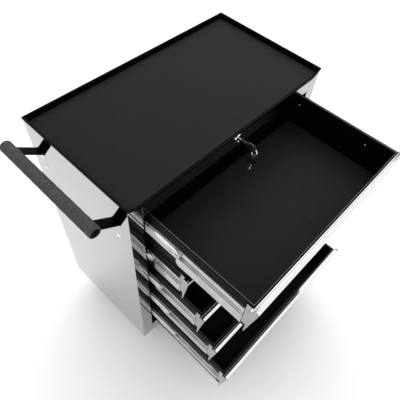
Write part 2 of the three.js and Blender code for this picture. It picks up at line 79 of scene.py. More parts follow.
soft_light = bpy.data.lights.new("soft_light", "AREA")
soft_light.shape = "RECTANGLE"
soft_light.size = 3.2
soft_light.size_y = 2.4
soft_light.energy = 48
lamp = bpy.data.objects.new("soft_light", soft_light)
toward = Vector((0.42, 0.34, 0.84)).normalized()
lamp_distance = 3.2
lamp.matrix_world = (Matrix.Translation(toward * lamp_distance)
                     @ toward.to_track_quat("Z", "Y").to_matrix().to_4x4())
scene.collection.objects.link(lamp)

# a second, low light fills the floor beside the end panel, which mirrors it
side_light = bpy.data.lights.new("side_light", "AREA")
side_light.shape = "RECTANGLE"
side_light.size = 2.4
side_light.size_y = 1.2
side_light.energy = 5
side_lamp = bpy.data.objects.new("side_light", side_light)
from_side = Vector((-0.88, -0.2, 0.36)).normalized()
side_distance = 2.4
side_lamp.matrix_world = (Matrix.Translation(from_side * side_distance)
                          @ from_side.to_track_quat("Z", "Y").to_matrix().to_4x4())
scene.collection.objects.link(side_lamp)


class Value:
    """A socket in a finish's node tree. Arithmetic on it adds Math nodes."""

    def __init__(self, finish, socket):
        self.finish = finish
        self.socket = socket

    def math(self, operation, first, second):
        return self.finish.node("ShaderNodeMath", {"operation": operation}, {0: first, 1: second})

    def __add__(self, other):
        return self.math("ADD", self, other)

    def __sub__(self, other):
        return self.math("SUBTRACT", self, other)

    def __rsub__(self, other):
        return self.math("SUBTRACT", other, self)

    def __mul__(self, other):
        return self.math("MULTIPLY", self, other)

    __radd__ = __add__
    __rmul__ = __mul__


class Finish:
    """A material: one Principled shader and the nodes that vary it over the surface."""

    def __init__(self, name, **even):
        self.material = bpy.data.materials.new(name)
        self.material.use_nodes = True
        self.tree = self.material.node_tree
        self.shader = self.tree.nodes["Principled BSDF"]
        for socket, value in even.items():
            self.shader.inputs[socket.replace("_", " ")].default_value = value

    def put(self, socket, value):
        if isinstance(value, Value):
            self.tree.links.new(value.socket, socket)
        else:
            socket.default_value = value

    def node(self, kind, settings, values, output=0):
        made = self.tree.nodes.new(kind)
        for name, setting in settings.items():
            if name == "stops":
                for stop, (place, grey) in zip(made.color_ramp.elements, setting):
                    stop.position = place
                    stop.color = (grey, grey, grey, 1)
            else:
                setattr(made, name, setting)
        for socket, value in values.items():
            self.put(made.inputs[socket], value)
        return Value(self, made.outputs[output])

    def place(self, stretch=(1, 1, 1)):
        where = self.node("ShaderNodeTexCoord", {}, {}, output="Object")
        return self.node("ShaderNodeMapping", {}, {"Vector": where, "Scale": stretch})

    def noise(self, scale, detail=3, stretch=(1, 1, 1)):
        values = {"Vector": self.place(stretch), "Scale": scale, "Detail": detail}
        return self.node("ShaderNodeTexNoise", {}, values)

    def cells(self, scale, stretch=(1, 1, 1)):
        return self.node("ShaderNodeTexVoronoi", {}, {"Vector": self.place(stretch), "Scale": scale})

    def between(self, value, low, high):
        """0 below low, 1 above high, straight between them."""
        return self.node("ShaderNodeValToRGB", {"stops": ((low, 0), (high, 1))}, {"Fac": value})

    def mix(self, share, one, other):
        values = {"Factor": share, 6: (*one, 1), 7: (*other, 1)}
        return self.node("ShaderNodeMix", {"data_type": "RGBA"}, values, output=2)

    def wear(self, share, colour, worn):
        """Base colour that turns from one shade to another."""
        self.put(self.shader.inputs["Base Color"], self.mix(share, colour, worn))

    def rough(self, value):
        self.put(self.shader.inputs["Roughness"], value)

    def relief(self, height, depth, strength=1.0):
        values = {"Height": height, "Distance": depth, "Strength": strength}
        self.put(self.shader.inputs["Normal"], self.node("ShaderNodeBump", {}, values))


def floor():
    """A wide disc of matt pale card, level with the underside of the wheels."""
    reach = 9.0
    bm = bmesh.new()
    bmesh.ops.create_circle(bm, cap_ends=True, segments=64, radius=reach)
    mesh = bpy.data.meshes.new("floor")
    bm.to_mesh(mesh)
    bm.free()
    card = Finish("pale_card", Roughness=0.9)
    card.wear(card.noise(1.2), (0.94, 0.94, 0.94), (0.92, 0.92, 0.92))
    mesh.materials.append(card.material)
    made = bpy.data.objects.new("floor", mesh)
    scene.collection.objects.link(made)


floor()

# ---- cabinet shell ----------------------------------------------------------------
# End panels with folded front posts, back, base and front rails, bent from 1.2 mm
# stainless sheet and polished nearly to a mirror. Wiping leaves faint streaks in it.
steel = Finish("polished_steel", Metallic=1.0)
smears = steel.noise(5, 4, (1, 1, 0.35))
lines = steel.noise(420, 2, (1, 1, 0.03))
steel.wear(steel.between(smears, 0.35, 0.75), (0.43, 0.435, 0.442), (0.39, 0.395, 0.402))
steel.rough(steel.between(smears, 0.3, 0.8) * 0.05 + lines * 0.03 + 0.035)
steel.relief(lines, 0.00002, 0.12)


def dress(names, finish, edge=0.0003):
    """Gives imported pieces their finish, and breaks their sharp edges by a hair."""
    for name in names:
        made = nodes[name]
        if not made.material_slots:
            made.data.materials.append(finish.material)
        for slot in made.material_slots:
            slot.material = finish.material
        joined = made.modifiers.new("joined", "WELD")
        joined.merge_threshold = 1e-6
        eased = made.modifiers.new("eased", "BEVEL")
        eased.width = edge
        eased.segments = 2
        eased.limit_method = "ANGLE"
        eased.angle_limit = math.radians(35)


dress(["side_panel_left", "side_panel_right", "back_panel", "base_pan", "header_rail"], steel)

# ---- black coated sheet -----------------------------------------------------------
# The top tray, the drawers' boxes and the handle's straps are plain steel with a
# semi-gloss black powder coat: a slight orange peel, dust, and rubbed spots.
coat = Finish("black_coat", IOR=1.12)
coat.shader.inputs["Specular IOR Level"].default_value = 0.3
peel = coat.noise(900, 2)
rubbed = coat.between(coat.noise(26, 5), 0.62, 0.8)
coat.wear(rubbed * 0.5, (0.0025, 0.0025, 0.003), (0.008, 0.008, 0.009))
coat.rough(rubbed * 0.14 + coat.noise(9) * 0.08 + 0.26)
coat.relief(peel, 0.00006, 0.25)
dress(["top_tray"], coat, 0.0004)
dress([f"drawer_box_{k}" for k in range(1, 6)], coat, 0.0002)

# ---- top mat ----------------------------------------------------------------------
# A charcoal rubber sheet laid in the tray, moulded with fine ribs along the chest that
# are cut across into a grid. It keeps tools from sliding and rattling.
rubber = Finish("rubber_mat")
rubber.shader.inputs["Specular IOR Level"].default_value = 0.2
cuts = rubber.node("ShaderNodeTexWave", {"bands_direction": "X"}, {"Vector": rubber.place(), "Scale": 52})
dust = rubber.noise(14, 6)
grain = rubber.noise(1400, 2)
rubber.wear(rubber.between(dust, 0.4, 0.75), (0.0095, 0.0095, 0.0098), (0.0125, 0.0125, 0.0128))
rubber.rough(dust * 0.12 + 0.72)
rubber.relief(cuts * 0.7 + grain * 0.5, 0.0003, 0.45)

rib_pitch = 0.003
rib_half_share = 0.3
rib_taper = 0.6
rib_border = 0.003
# turns a shape drawn in depth and height, and raised along Z, so that it lies along X
end_view = Matrix(((0, 0, 1, 0), (1, 0, 0, 0), (0, 1, 0, 0), (0, 0, 0, 1)))


def block(low, high, ease=0.0, steps=2):
    """A box between two corners, with its edges rounded."""
    bm = bmesh.new()
    size = Vector(high) - Vector(low)
    place = Matrix.Translation((Vector(high) + Vector(low)) / 2) @ Matrix.Diagonal((*size, 1))
    bmesh.ops.create_cube(bm, size=1, matrix=place)
    if ease:
        bmesh.ops.bevel(bm, geom=bm.edges[:], offset=ease, segments=steps, affect="EDGES", profile=0.5)
    return bm


def slab(outline, low, high, ease=0.0, steps=2):
    """A flat piece of the given outline between two heights, with its rims rounded."""
    bm = bmesh.new()
    bottom = bm.faces.new([bm.verts.new((a, b, low)) for a, b in outline])
    raised = bmesh.ops.extrude_face_region(bm, geom=[bottom])
    for vert in raised["geom"]:
        if isinstance(vert, bmesh.types.BMVert):
            vert.co.z = high
    bmesh.ops.recalc_face_normals(bm, faces=bm.faces)
    if ease:
        rims = [e for e in bm.edges if abs(e.verts[0].co.z - e.verts[1].co.z) < 1e-7]
        bmesh.ops.bevel(bm, geom=rims, offset=ease, segments=steps, affect="EDGES", profile=0.5)
    return bm


def mesh_of(name, shapes, crease=32):
    """One mesh of several closed shapes: faces outward, rounds smooth, edges crisp."""
    whole = bmesh.new()
    for bm in shapes:
        part = bpy.data.meshes.new("part")
        bm.to_mesh(part)
        bm.free()
        whole.from_mesh(part)
        bpy.data.meshes.remove(part)
    bmesh.ops.remove_doubles(whole, verts=whole.verts, dist=1e-7)
    bmesh.ops.recalc_face_normals(whole, faces=whole.faces)
    mesh = bpy.data.meshes.new(name)
    whole.to_mesh(mesh)
    whole.free()
    mesh.polygons.foreach_set("use_smooth", [True] * len(mesh.polygons))
    mesh.set_sharp_from_angle(angle=math.radians(crease))
    return mesh


def piece(mesh, finish, body, slot, *stands_for):
    """Puts a finished mesh in the scene, on its body."""
    if not mesh.materials:
        mesh.materials.append(finish.material)
    made = bpy.data.objects.new(mesh.name, mesh)
    scene.collection.objects.link(made)
    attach(made, body)
    if stands_for:
        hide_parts(*stands_for)
    return made


# One tree stamps a small shape on points, each turned to face its own way. Ribs, rivets,
# screws, bolts, balls and spokes all come from it.
def stamping_tree():
    tree = bpy.data.node_groups.new("stamp_on_points", "GeometryNodeTree")
    ports = (("Points", "Geometry"), ("Shape", "Object"), ("Size", "Float"), ("Twist", "Float"),
             ("Seed", "Int"), ("Finish", "Material"))
    for name, kind in ports:
        tree.interface.new_socket(name, in_out="INPUT", socket_type="NodeSocket" + kind)
    tree.interface.new_socket("Stamped", in_out="OUTPUT", socket_type="NodeSocketGeometry")

    def node(kind, settings, values):
        made = tree.nodes.new(kind)
        for name, setting in settings.items():
            setattr(made, name, setting)
        for socket, value in values.items():
            if isinstance(value, bpy.types.NodeSocket):
                tree.links.new(value, made.inputs[socket])
            else:
                made.inputs[socket].default_value = value
        return made

    given = node("NodeGroupInput", {}, {}).outputs
    shape = node("GeometryNodeObjectInfo", {}, {"Object": given["Shape"]})
    facing = node("GeometryNodeInputNamedAttribute", {"data_type": "FLOAT_VECTOR"}, {"Name": "facing"})
    turn = node("FunctionNodeAlignRotationToVector", {"axis": "Z"}, {"Vector": facing.outputs[0]})
    stamped = node("GeometryNodeInstanceOnPoints", {}, {
        "Points": given["Points"], "Instance": shape.outputs["Geometry"],
        "Rotation": turn.outputs[0], "Scale": given["Size"]})
    # outputs: 1 is the random number, whose inputs 2 and 3 are its range
    chance = node("FunctionNodeRandomValue", {"data_type": "FLOAT"}, {
        2: 0.0, 3: given["Twist"], "Seed": given["Seed"]})
    angle = node("ShaderNodeCombineXYZ", {}, {"Z": chance.outputs[1]})
    twisted = node("GeometryNodeRotateInstances", {}, {
        "Instances": stamped.outputs[0], "Rotation": angle.outputs[0]})
    real = node("GeometryNodeRealizeInstances", {}, {0: twisted.outputs[0]})
    dressed = node("GeometryNodeSetMaterial", {}, {"Geometry": real.outputs[0], "Material": given["Finish"]})
    node("NodeGroupOutput", {}, {"Stamped": dressed.outputs[0]})
    return tree


stamping = stamping_tree()


def stamp(name, shapes, places, finish, size=1.0, twist=0.0):
    """A plain mesh of one small shape repeated at places, which are (point, facing)."""
    sample = bpy.data.objects.new("sample", mesh_of("sample", shapes))
    scene.collection.objects.link(sample)
    cloud = bpy.data.meshes.new("cloud")
    cloud.from_pydata([tuple(point) for point, _ in places], [], [])
    facing = cloud.attributes.new("facing", "FLOAT_VECTOR", "POINT")
    for i, (_, way) in enumerate(places):
        facing.data[i].vector = Vector(way)
    carrier = bpy.data.objects.new(name, cloud)
    scene.collection.objects.link(carrier)
    modifier = carrier.modifiers.new("stamp", "NODES")
    modifier.node_group = stamping
    given = {"Shape": sample, "Size": size, "Twist": twist, "Seed": 7, "Finish": finish.material}
    for port in stamping.interface.items_tree:
        if port.name in given:
            modifier[port.identifier] = given[port.name]
    view_layer = bpy.context.view_layer
    view_layer.update()
    depsgraph = bpy.context.evaluated_depsgraph_get()
    mesh = bpy.data.meshes.new_from_object(carrier.evaluated_get(depsgraph), depsgraph=depsgraph)
    mesh.name = name
    bpy.data.objects.remove(carrier)
    bpy.data.objects.remove(sample)
    return mesh


def add_to(mesh, extra):
    """Joins another mesh to this one."""
    whole = bmesh.new()
    whole.from_mesh(mesh)
    whole.from_mesh(extra)
    whole.to_mesh(mesh)
    whole.free()


def ribbed_mat(name, low, high, rib, body, *stands_for):
    """A sheet with square corners and small ribs on top that run along X."""
    length = high[0] - low[0] - 2 * rib_border
    count = int((high[1] - low[1] - 2 * rib_border) / rib_pitch)
    start = (low[1] + high[1]) / 2 - (count - 1) * rib_pitch / 2
    foot = rib_pitch * rib_half_share
    crest = foot * rib_taper
    section = [(-foot, -rib), (foot, -rib), (crest, rib), (-crest, rib)]
    bar = slab(section, -length / 2, length / 2)
    bar.transform(end_view)
    middle = (low[0] + high[0]) / 2
    places = [((middle, start + i * rib_pitch, high[2] - rib), (0, 0, 1)) for i in range(count)]
    sheet = mesh_of(name, [block(low, (high[0], high[1], high[2] - rib), 0.0005)])
    add_to(sheet, stamp(name + "_ribs", [bar], places, rubber))
    piece(sheet, rubber, body, "rubber_mat", *stands_for)


mat_low, mat_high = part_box("top_mat")
ribbed_mat("ribbed_top_mat", mat_low, mat_high, 0.0004, "cabinet", "top_mat")

# ---- drawers ----------------------------------------------------------------------
# Each is a folded black box with a ribbed liner on its floor. The polished front hooks
# over it, and pop rivets hold the slides to its walls, two on each side.
drawer_numbers = range(1, 6)
wall = 0.0008
front_wall = 0.0037
margin = 0.0025
liner = 0.0018
for k in drawer_numbers:
    low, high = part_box(f"drawer_box_{k}")
    floor_low = (low.x + wall + margin, low.y + front_wall + margin, low.z + wall)
    floor_high = (high.x - wall - margin, high.y - wall - margin, low.z + wall + liner)
    ribbed_mat(f"drawer_liner_{k}", floor_low, floor_high, 0.0003, f"drawer_{k}")

# The front, by its end view as (depth behind its face, height over its top): a leaning
# sheet whose top folds back under the box's wall behind a narrow raised edge, and a pull
# strip clipped along it with a groove between.
bright = Finish("bright_strip", Metallic=1.0)
brushed = bright.noise(380, 3, (0.03, 1, 1))
bright.wear(bright.noise(7, 4), (0.93, 0.93, 0.935), (0.86, 0.86, 0.865))
bright.rough(brushed * 0.08 + 0.1)
bright.relief(brushed, 0.00002, 0.15)
lip_depth = 0.013
lean = 0.0143
front_sheet = 0.0011
strip_end = 0.0035
cheek_sheet = 0.0012
end_gap = 0.0002
bracket_in = 0.0055
bracket_drop = 0.082


def along_x(section, corner, x0, x1, ease=0.0002):
    """A section in depth and height, drawn along X from one end to the other."""
    bm = slab([(corner.y + a, corner.z + b) for a, b in section], x0, x1, 0)
    bm.transform(end_view)
    if ease:
        sharp = [e for e in bm.edges if e.calc_face_angle(0) > math.radians(40)]
        bmesh.ops.bevel(bm, geom=sharp, offset=ease, segments=1, affect="EDGES", profile=0.5)
    return bm


for k in drawer_numbers:
    low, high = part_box(f"drawer_front_{k}")
    corner = Vector((low.x, low.y, high.z))
    tall = high.z - low.z
    leaning = [
        (lean, -tall), (0.0002, -0.0065), (0.0012, -0.0040), (0.0105, -0.0040), (0.0105, -0.0004),
        (0.0110, 0), (lip_depth, 0), (lip_depth, -0.0037), (lean + 0.0012, -0.0037),
        (lean + 0.0012, -0.0048), (0.0022, -0.0048), (0.0014, -0.0065), (lean + front_sheet, -tall)]
    strip = [
        (0, -0.0065), (0, -0.0047), (0.0004, -0.0036), (0.0013, -0.0029), (0.0062, -0.0009),
        (0.0068, -0.0013), (0.0069, -0.0042), (0.0058, -0.0042), (0.0058, -0.0024), (0.0014, -0.0042),
        (0.0012, -0.0065)]
    cheek = [
        (0.0003, -0.0065), (0.0004, -0.0048), (0.0015, -0.0034), (0.0065, -0.0014), (lip_depth, -0.0008),
        (lip_depth, -0.0040), (lean + 0.0012, -0.0040), (lean + 0.0012, -tall), (lean, -tall)]
    bracket = [
        (lip_depth + 0.0002, -0.0045), (high.y - low.y, -0.0045), (high.y - low.y, -bracket_drop),
        (lean + 0.0008, -bracket_drop)]
    shapes = [along_x(leaning, corner, low.x + end_gap, high.x - end_gap),
              along_x(cheek, corner, low.x, low.x + cheek_sheet),
              along_x(cheek, corner, high.x - cheek_sheet, high.x),
              along_x(bracket, corner, low.x + bracket_in, low.x + bracket_in + cheek_sheet),
              along_x(bracket, corner, high.x - bracket_in - cheek_sheet, high.x - bracket_in)]
    front = mesh_of(f"polished_front_{k}", shapes)
    piece(front, steel, f"drawer_{k}", "polished_steel", f"drawer_front_{k}")
    pull = along_x(strip, corner, low.x + strip_end, high.x - strip_end, 0.0001)
    piece(mesh_of(f"pull_strip_{k}", [pull]), bright, f"drawer_{k}", "polished_steel")

# A rolled bead closes the inner edge of each box's hem; it is glossier than the flats, and its colour is a
# painted highlight, several times lighter than the coat.
bead_gloss_highlight = Finish("glossy_bead", IOR=1.7)
bead_wear_and_highlight = bead_gloss_highlight.noise(60, 4)
# painted highlight: both shades are far lighter than the black coat, so the hem's edge reads as a light line
bead_gloss_highlight.wear(bead_gloss_highlight.between(bead_wear_and_highlight, 0.4, 0.8), (0.02, 0.02, 0.021), (0.05, 0.05, 0.052))
bead_gloss_highlight.rough(bead_wear_and_highlight * 0.1 + 0.16)
bead_gloss_highlight.relief(bead_gloss_highlight.noise(700, 2), 0.00002, 0.2)
bead_radius = 0.0008
hem_width = 0.004
bead_sides = 10


def bead_loop(corners, radius):
    """A thin round rod bent through the corners, closed on itself."""
    bm = bmesh.new()
    rings = []
    count = len(corners)
    middle = sum(corners, Vector()) / count
    for i, corner in enumerate(corners):
        before = (corner - corners[i - 1]).normalized()
        after = (corners[(i + 1) % count] - corner).normalized()
        out = before.cross(Vector((0, 0, 1))) + after.cross(Vector((0, 0, 1)))
        if out.dot(corner - middle) < 0:
            out = -out
        ring = []
        for j in range(bead_sides):
            turn = math.tau * j / bead_sides
            ring.append(bm.verts.new(corner + out * radius * math.cos(turn)
                                     + Vector((0, 0, radius * math.sin(turn)))))
        rings.append(ring)
    for one, other in zip(rings, rings[1:] + rings[:1]):
        for j in range(bead_sides):
            bm.faces.new((one[j], one[(j + 1) % bead_sides], other[(j + 1) % bead_sides], other[j]))
    return bm


for k in drawer_numbers:
    low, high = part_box(f"drawer_box_{k}")
    level_z = high.z - bead_radius * 0.7
    x0, x1 = low.x + hem_width, high.x - hem_width
    y0, y1 = low.y + front_wall, high.y - hem_width
    loop = [Vector((x0, y0, level_z)), Vector((x1, y0, level_z)), Vector((x1, y1, level_z)),
            Vector((x0, y1, level_z))]
    piece(mesh_of(f"hem_bead_{k}", [bead_loop(loop, bead_radius)], 60), bead_gloss_highlight, f"drawer_{k}", "black_coat")

# Slides, rivets, bolts, cam and caster forks are rolled or pressed steel with bright zinc,
# a little cloudy, and rubbed lengthwise where the balls run.
zinc = Finish("zinc_steel", Metallic=1.0)
cloud = zinc.noise(34, 5)
drawn = zinc.noise(300, 2, (1, 0.03, 1))
zinc.wear(zinc.between(cloud, 0.35, 0.7), (0.66, 0.665, 0.675), (0.5, 0.505, 0.515))
zinc.rough(cloud * 0.1 + drawn * 0.06 + 0.1)
zinc.relief(drawn, 0.00003, 0.2)


def turned(profile, sides=48):
    """A closed shape turned about Z. The profile is (radius, height) pairs that start
    and end on the axis, or come back to where they began."""
    bm = bmesh.new()
    rings = []
    for radius, height in profile:
        if radius == 0:
            rings.append([bm.verts.new((0, 0, height))] * sides)
        else:
            turns = [math.tau * i / sides for i in range(sides)]
            rings.append([bm.verts.new((radius * math.cos(t), radius * math.sin(t), height)) for t in turns])
    for one, other in zip(rings, rings[1:]):
        for i in range(sides):
            j = (i + 1) % sides
            corners = list(dict.fromkeys((one[i], one[j], other[j], other[i])))
            if len(corners) > 2:
                bm.faces.new(corners)
    return bm


def dome_head(radius, height):
    """A low round head standing on its seat, sunk a little so that it has no gap."""
    sunk = 0.0004
    arc = [(radius * math.cos(t), height * math.sin(t)) for t in [math.pi / 2 * i / 6 for i in range(6)]]
    return turned([(0, -sunk), (radius, -sunk), *arc, (0, height)], 20)


rivet_radius = 0.0032
rivet_height = 0.0014
rivet_from_front = 0.0735
rivet_from_back = 0.0195
for k in drawer_numbers:
    low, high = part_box(f"drawer_box_{k}")
    slide_low, slide_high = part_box(f"middle_slide_left_{k}")
    height = (slide_low.z + slide_high.z) / 2
    places = []
    for y in (low.y + rivet_from_front, high.y - rivet_from_back):
        places.append(((low.x + wall, y, height), (1, 0, 0)))
        places.append(((high.x - wall, y, height), (-1, 0, 0)))
    heads = stamp(f"slide_rivets_{k}", [dome_head(rivet_radius, rivet_height)], places, zinc)
    piece(heads, zinc, f"drawer_{k}", "zinc_steel")

# ---- slides -----------------------------------------------------------------------
# Three rolled channels in a nest. The outer one stays with the cabinet, the inner one
# goes with the drawer, and the middle one runs between them on two rows of caged balls.
dress(["slide_rack_left", "slide_rack_right"], zinc, 0.0002)
for k in drawer_numbers:
    dress([f"inner_slide_left_{k}", f"inner_slide_right_{k}"], zinc, 0.0002)

# Half of the middle member's rolled section, as (depth into the slide, height): the
# flat web stands back between two raceways that are curled round the balls.
web_back = 0.0014
race_step = 0.0062
roll = 0.0022
sheet = 0.0012
arc_steps = 5


def rolled_section(reach, half_height):
    """The section's outline: down its outer face, then back up its inner one."""
    def curl(radius):
        corner = (roll, half_height - roll)
        return [(corner[0] - radius * math.cos(t), corner[1] + radius * math.sin(t))
                for t in [math.pi / 2 * i / arc_steps for i in range(arc_steps + 1)]]
    outer = [(web_back, race_step), (0, race_step + web_back), *curl(roll), (reach, half_height)]
    inner = [(reach, half_height - sheet), *reversed(curl(roll - sheet)),
             (sheet, race_step + web_back + sheet * 0.4), (web_back + sheet, race_step + sheet * 0.4)]
    upper = [*reversed(outer)]
    lower = [(a, -b) for a, b in outer]
    inner_lower = [(a, -b) for a, b in inner]
    return [*upper, *lower, *inner_lower, *reversed(inner)]


def middle_member(name, side):
    """The section drawn along the slide and narrowed to a round end."""
    low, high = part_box(name)
    half_height = (high.z - low.z) / 2
    level = (high.z + low.z) / 2
    section = rolled_section(high.x - low.x, half_height)
    tip_steps = 12
    tip = [half_height * (1 - math.cos(math.pi / 2 * i / tip_steps)) for i in range(1, tip_steps + 1)]
    stations = [(low.y + t, math.sqrt(1 - (1 - t / half_height) ** 2)) for t in tip]
    stations.append((high.y, 1.0))
    bm = bmesh.new()
    rings = []
    for y, narrowing in stations:
        xs = [(low.x + a if side == "left" else high.x - a) for a, _ in section]
        rings.append([bm.verts.new((x, y, level + b * narrowing)) for x, (_, b) in zip(xs, section)])
    count = len(section)
    for one, other in zip(rings, rings[1:]):
        for i in range(count):
            j = (i + 1) % count
            bm.faces.new((one[i], one[j], other[j], other[i]))
    bm.faces.new(rings[0])
    bm.faces.new(rings[-1])
    bmesh.ops.recalc_face_normals(bm, faces=bm.faces)
    return bm


end_hole = 0.0038
end_hole_inset = 0.0085
punch_reach = 0.01


def set_at(bm, place, up):
    """Moves a shape so that its Z points along up and its origin is at place."""
    turn = Vector(up).to_track_quat("Z", "Y").to_matrix().to_4x4()
    bm.transform(Matrix.Translation(place) @ turn)
    return bm


def with_end_hole(name, side, bm):
    """Punches the hole in the round end, as a plain mesh."""
    low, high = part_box(name)
    mesh = mesh_of(name, [bm])
    plain = bpy.data.objects.new("member", mesh)
    scene.collection.objects.link(plain)
    pin_profile = [(0, -punch_reach), (end_hole, -punch_reach), (end_hole, punch_reach), (0, punch_reach)]
    pin = turned(pin_profile, 28)
    where = ((low.x + high.x) / 2, low.y + end_hole_inset, (low.z + high.z) / 2)
    punch = bpy.data.objects.new("punch", mesh_of("punch", [set_at(pin, where, (1, 0, 0))]))
    scene.collection.objects.link(punch)
    cut = plain.modifiers.new("cut", "BOOLEAN")
    cut.operation = "DIFFERENCE"
    cut.solver = "EXACT"
    cut.object = punch
    bpy.context.view_layer.update()
    depsgraph = bpy.context.evaluated_depsgraph_get()
    made = bpy.data.meshes.new_from_object(plain.evaluated_get(depsgraph), depsgraph=depsgraph)
    made.name = name
    bpy.data.objects.remove(plain)
    bpy.data.objects.remove(punch)
    return made


for k in drawer_numbers:
    for side in ("left", "right"):
        node = f"middle_slide_{side}_{k}"
        member = with_end_hole(node, side, middle_member(node, side))
        member.name = f"rolled_slide_{side}_{k}"
        member.materials.clear()
        piece(member, zinc, f"middle_slides_{k}", "zinc_steel", node)

# Thin dark strips along the members are painted shade, standing in for the shade in the gaps and grooves
# between the rolled tracks.
shade_strip_finish = Finish("track_grease")
shade_strip_mottle = shade_strip_finish.noise(90, 4, (1, 0.1, 1))
# painted shade: the strips are near black, mottled a little
shade_strip_finish.wear(shade_strip_mottle, (0.012, 0.012, 0.012), (0.05, 0.049, 0.046))
shade_strip_finish.rough(shade_strip_mottle * 0.2 + 0.3)
shade_strip_finish.relief(shade_strip_finish.noise(600, 2), 0.00003, 0.3)
film = 0.0002
line_half = 0.0008
member_half = 0.017
line_ends = 0.004
middle_start = 0.018
middle_line = 0.0048
drawer_start = 0.006
top_line = 0.0055
foot_line = 0.0065
plate_line = 0.0035
plate_length = 0.165


def shade_strip_line(face_x, y0, y1, z):
    """A thin dark strip of painted shade along a slide's face, half sunk in it."""
    return block((face_x - film, y0, z - line_half), (face_x + film, y1, z + line_half))


for k in drawer_numbers:
    on_middle = []
    on_drawer = []
    for side in ("left", "right"):
        low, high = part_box(f"middle_slide_{side}_{k}")
        face = low.x + web_back if side == "left" else high.x - web_back
        level = (low.z + high.z) / 2
        for sign in (-1, 1):
            z = level + sign * middle_line
            on_middle.append(shade_strip_line(face, low.y + middle_start, high.y - line_ends, z))
        low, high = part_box(f"inner_slide_{side}_{k}")
        face = high.x - sheet if side == "left" else low.x + sheet
        start = low.y + drawer_start
        foot = high.z - 2 * member_half
        for z in (high.z - top_line, foot + foot_line):
            on_drawer.append(shade_strip_line(face, start, high.y - line_ends, z))
        on_drawer.append(shade_strip_line(face, start, low.y + plate_length, foot - plate_line))
    # these dark strips are painted shade along the slides' tracks
    piece(mesh_of(f"middle_tracks_{k}", on_middle), shade_strip_finish, f"middle_slides_{k}", "zinc_steel")
    piece(mesh_of(f"drawer_tracks_{k}", on_drawer), shade_strip_finish, f"drawer_{k}", "zinc_steel")

# the rows of balls, above and below the middle member, each in its strip of cage
ball_radius = 0.0017
ball_pitch = 0.0055
ball_start = 0.018
row_short = 0.03
row_lift = 0.0019
row_inset = 0.0016
cage_start = 0.014
cage_half = 0.0013
cage_sheet = 0.0005
ball_profile = [(0, -1), (0.5, -0.87), (0.87, -0.5), (1, 0), (0.87, 0.5), (0.5, 0.87), (0, 1)]
for k in drawer_numbers:
    places = []
    cages = []
    for side in ("left", "right"):
        low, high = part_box(f"middle_slide_{side}_{k}")
        inner_x = high.x - row_inset if side == "left" else low.x + row_inset
        count = int((high.y - low.y - row_short) / ball_pitch)
        first = low.y + ball_start
        for level_z, sign in ((high.z + row_lift, 1), (low.z - row_lift, -1)):
            for i in range(count):
                places.append(((inner_x, first + i * ball_pitch, level_z), (0, 0, sign)))
            strip_low = (inner_x - cage_half, low.y + cage_start, level_z - cage_sheet / 2)
            strip_high = (inner_x + cage_half, first + count * ball_pitch, level_z + cage_sheet / 2)
            cages.append(block(strip_low, strip_high))
    balls = stamp(f"slide_balls_{k}", [turned(ball_profile, 8)], places, zinc, size=ball_radius)
    strips = mesh_of(f"slide_balls_and_cages_{k}", cages)
    add_to(strips, balls)
    piece(strips, zinc, f"middle_slides_{k}", "zinc_steel")

# ---- push handle ------------------------------------------------------------------
# Two bent straps come out through the end panel and carry a tube inside a foam grip.
# Each strap's leg is held from outside by two chromed pan-head screws.
dress(["handle_strap_front", "handle_strap_rear", "handle_tube"], coat, 0.0005)

foam = Finish("foam_grip")
foam.shader.inputs["Specular IOR Level"].default_value = 0.25
pores = foam.cells(520)
patches = foam.noise(160, 4)
foam.wear(foam.between(patches, 0.3, 0.72), (0.034, 0.034, 0.035), (0.062, 0.062, 0.064))
foam.rough(patches * 0.15 + 0.78)
foam.relief(pores * 0.6 + patches, 0.0005, 0.6)

grip_low, grip_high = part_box("handle_grip")
grip_radius = (grip_high.z - grip_low.z) / 2
tube_radius = 0.0103
end_round = 0.003
ripple = 0.00015
ripple_steps = 6
grip_length = grip_high.y - grip_low.y
quarter = [math.pi / 2 * i / 6 for i in range(7)]
near_end = [(grip_radius - end_round * (1 - math.sin(t)), end_round * (1 - math.cos(t))) for t in quarter]
far_end = [(radius, grip_length - along) for radius, along in reversed(near_end)]
body_steps = 60
waist = [(grip_radius - ripple * (1 - math.cos(math.tau * i / ripple_steps)),
          end_round + (grip_length - 2 * end_round) * i / body_steps) for i in range(1, body_steps)]
grip_profile = [(tube_radius, 0), *near_end, *waist, *far_end, (tube_radius, grip_length), (tube_radius, 0)]
grip_axis = Vector(((grip_low.x + grip_high.x) / 2, grip_low.y, (grip_low.z + grip_high.z) / 2))
piece(mesh_of("foam_grip", [set_at(turned(grip_profile, 64), grip_axis, (0, 1, 0))], 50),
      foam, "cabinet", "foam_grip", "handle_grip")

chrome = Finish("chrome", Metallic=1.0)
chrome_haze = chrome.noise(60, 4)
chrome.wear(chrome.between(chrome_haze, 0.4, 0.75), (0.82, 0.825, 0.835), (0.74, 0.745, 0.755))
chrome.rough(chrome_haze * 0.08 + 0.03)
chrome.relief(chrome.noise(500, 2), 0.00002, 0.1)


def cross_head(radius, height):
    """A pan-head screw with a cross recess pressed into it."""
    head = dome_head(radius, height)
    arm = radius * 0.62
    slot = radius * 0.16
    floor_level = height * 0.45
    for vert in head.verts:
        x, y = abs(vert.co.x), abs(vert.co.y)
        if vert.co.z > 0 and min(x, y) < slot and max(x, y) < arm:
            vert.co.z = floor_level
    return head


panel_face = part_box("side_panel_left")[0].x
screw_radius = 0.0052
screw_height = 0.0031
screw_lifts = (0.014, 0.050)
screw_places = []
for end in ("front", "rear"):
    low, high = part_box(f"handle_strap_{end}")
    for lift in screw_lifts:
        screw_places.append(((panel_face, (low.y + high.y) / 2, low.z + lift), (-1, 0, 0)))
screws = stamp("handle_screws", [cross_head(screw_radius, screw_height)], screw_places, chrome, twist=1.5)
piece(screws, chrome, "cabinet", "chrome_lock")

